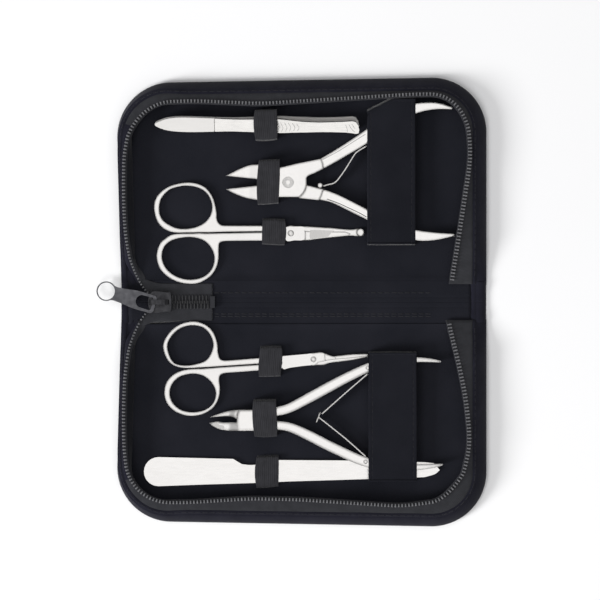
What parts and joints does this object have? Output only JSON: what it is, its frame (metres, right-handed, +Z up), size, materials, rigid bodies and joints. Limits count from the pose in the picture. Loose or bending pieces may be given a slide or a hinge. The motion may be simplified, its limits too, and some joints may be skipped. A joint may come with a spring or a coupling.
{
  "type": "manicure set case",
  "caption": "Zippered manicure case opened flat, holding scissors, nippers, tweezers and a file in elastic loops and straps.",
  "frame": {"origin": "on the table plane under the middle of the spine", "axes": "+X along the spine to the right, +Y to the half with the tweezers, +Z up from the table"},
  "size_m": [0.1716, 0.1976, 0.0091],
  "materials": {
    "cover": "matte grained cover cloth",
    "board": "stiffener board",
    "velvet": "short black velvet",
    "elastic": "ribbed elastic webbing",
    "zip_tape": "woven zip tape",
    "zip_teeth": "moulded teeth",
    "zip_metal": "dark gunmetal",
    "polished_steel": "polished stainless",
    "brushed_steel": "satin stainless"
  },
  "bodies": {
    "lower_half": {"lower_cover": "cover", "lower_board": "board", "lower_lining": "velvet", "lower_zip_tape": "zip_tape", "lower_zip_teeth": "zip_teeth", "cuticle_scissor_loop": "elastic", "cuticle_nipper_loop": "elastic", "file_loop": "elastic", "lower_handle_strap": "velvet", "cuticle_scissor_blade": "polished_steel", "cuticle_scissor_screw": "polished_steel", "cuticle_nipper_half": "polished_steel", "cuticle_nipper_pin": "polished_steel", "cuticle_nipper_spring": "polished_steel", "cuticle_nipper_spring_screw": "polished_steel", "nail_file": "brushed_steel"},
    "spine": {"spine_cover": "cover", "spine_board": "board", "spine_lining": "velvet", "joined_zip_tape": "zip_tape", "joined_zip_teeth": "zip_teeth", "zip_bottom_stop": "zip_metal"},
    "upper_half": {"upper_cover": "cover", "upper_board": "board", "upper_lining": "velvet", "upper_zip_tape": "zip_tape", "upper_zip_teeth": "zip_teeth", "tweezer_loop": "elastic", "nail_nipper_loop": "elastic", "ball_scissor_loop": "elastic", "upper_handle_strap": "velvet", "ball_scissor_blade": "polished_steel", "ball_scissor_screw": "polished_steel", "nail_nipper_half": "polished_steel", "nail_nipper_pin": "polished_steel", "tweezer_back_arm": "polished_steel"},
    "slider": {"zip_slider": "zip_metal"},
    "pull": {"zip_pull": "zip_metal"},
    "ball_scissor_moving": {"ball_scissor_moving_blade": "polished_steel"},
    "cuticle_scissor_moving": {"cuticle_scissor_moving_blade": "polished_steel"},
    "nail_nipper_moving": {"nail_nipper_moving_half": "polished_steel", "nail_nipper_spring": "polished_steel", "nail_nipper_spring_screw": "polished_steel"},
    "cuticle_nipper_moving": {"cuticle_nipper_moving_half": "polished_steel", "cuticle_nipper_moving_spring": "polished_steel", "cuticle_nipper_moving_spring_screw": "polished_steel"},
    "tweezer_moving": {"tweezer_front_arm": "polished_steel"}
  },
  "joints": [
    {"name": "spine_fold", "type": "hinge", "parent": "lower_half", "child": "spine", "pos_m": [0, -0.0074, 0.0013], "axis": [1, 0, 0], "range_deg": [0, 90]},
    {"name": "upper_fold", "type": "hinge", "parent": "spine", "child": "upper_half", "pos_m": [0, 0.0074, 0.0013], "axis": [1, 0, 0], "range_deg": [0, 90]},
    {"name": "slider_slide", "type": "slide", "parent": "spine", "child": "slider", "axis": [1, 0, 0], "range_m": [0, 0.016], "deforming": ["joined_zip_teeth"]},
    {"name": "pull_swing", "type": "hinge", "parent": "slider", "child": "pull", "pos_m": [-0.0647, -0.0012, 0.005], "axis": [0.2756, 0.9613, 0], "range_deg": [0, 90]},
    {"name": "ball_scissor_open", "type": "hinge", "parent": "upper_half", "child": "ball_scissor_moving", "pos_m": [-0.0044, 0.0303, 0.00215], "axis": [0, 0, -1], "range_deg": [0, 12], "deforming": ["ball_scissor_loop"]},
    {"name": "cuticle_scissor_open", "type": "hinge", "parent": "lower_half", "child": "cuticle_scissor_moving", "pos_m": [0.0055, -0.0252, 0.00215], "axis": [0, 0, 1], "range_deg": [0, 8], "deforming": ["cuticle_scissor_loop"]},
    {"name": "nail_nipper_close", "type": "hinge", "parent": "upper_half", "child": "nail_nipper_moving", "pos_m": [-0.0056, 0.0526, 0.0039], "axis": [0, 0, 1], "range_deg": [0, 11.5], "stiffness_Nm_per_rad": 0.2, "deforming": ["nail_nipper_spring"]},
    {"name": "cuticle_nipper_close", "type": "hinge", "parent": "lower_half", "child": "cuticle_nipper_moving", "pos_m": [-0.0171, -0.0519, 0.0039], "axis": [0, 0, 1], "range_deg": [0, 5.6], "stiffness_Nm_per_rad": 0.2, "deforming": ["cuticle_nipper_spring", "cuticle_nipper_moving_spring"]},
    {"name": "tweezer_squeeze", "type": "hinge", "parent": "upper_half", "child": "tweezer_moving", "pos_m": [-0.0378, 0.0782, 0.00525], "axis": [0, 0.848, 0.5299], "range_deg": [0, 2.5], "stiffness_Nm_per_rad": 0.3}
  ],
  "couplings": [
    {"joint": "upper_fold", "follows": "spine_fold", "ratio": 1}
  ]
}
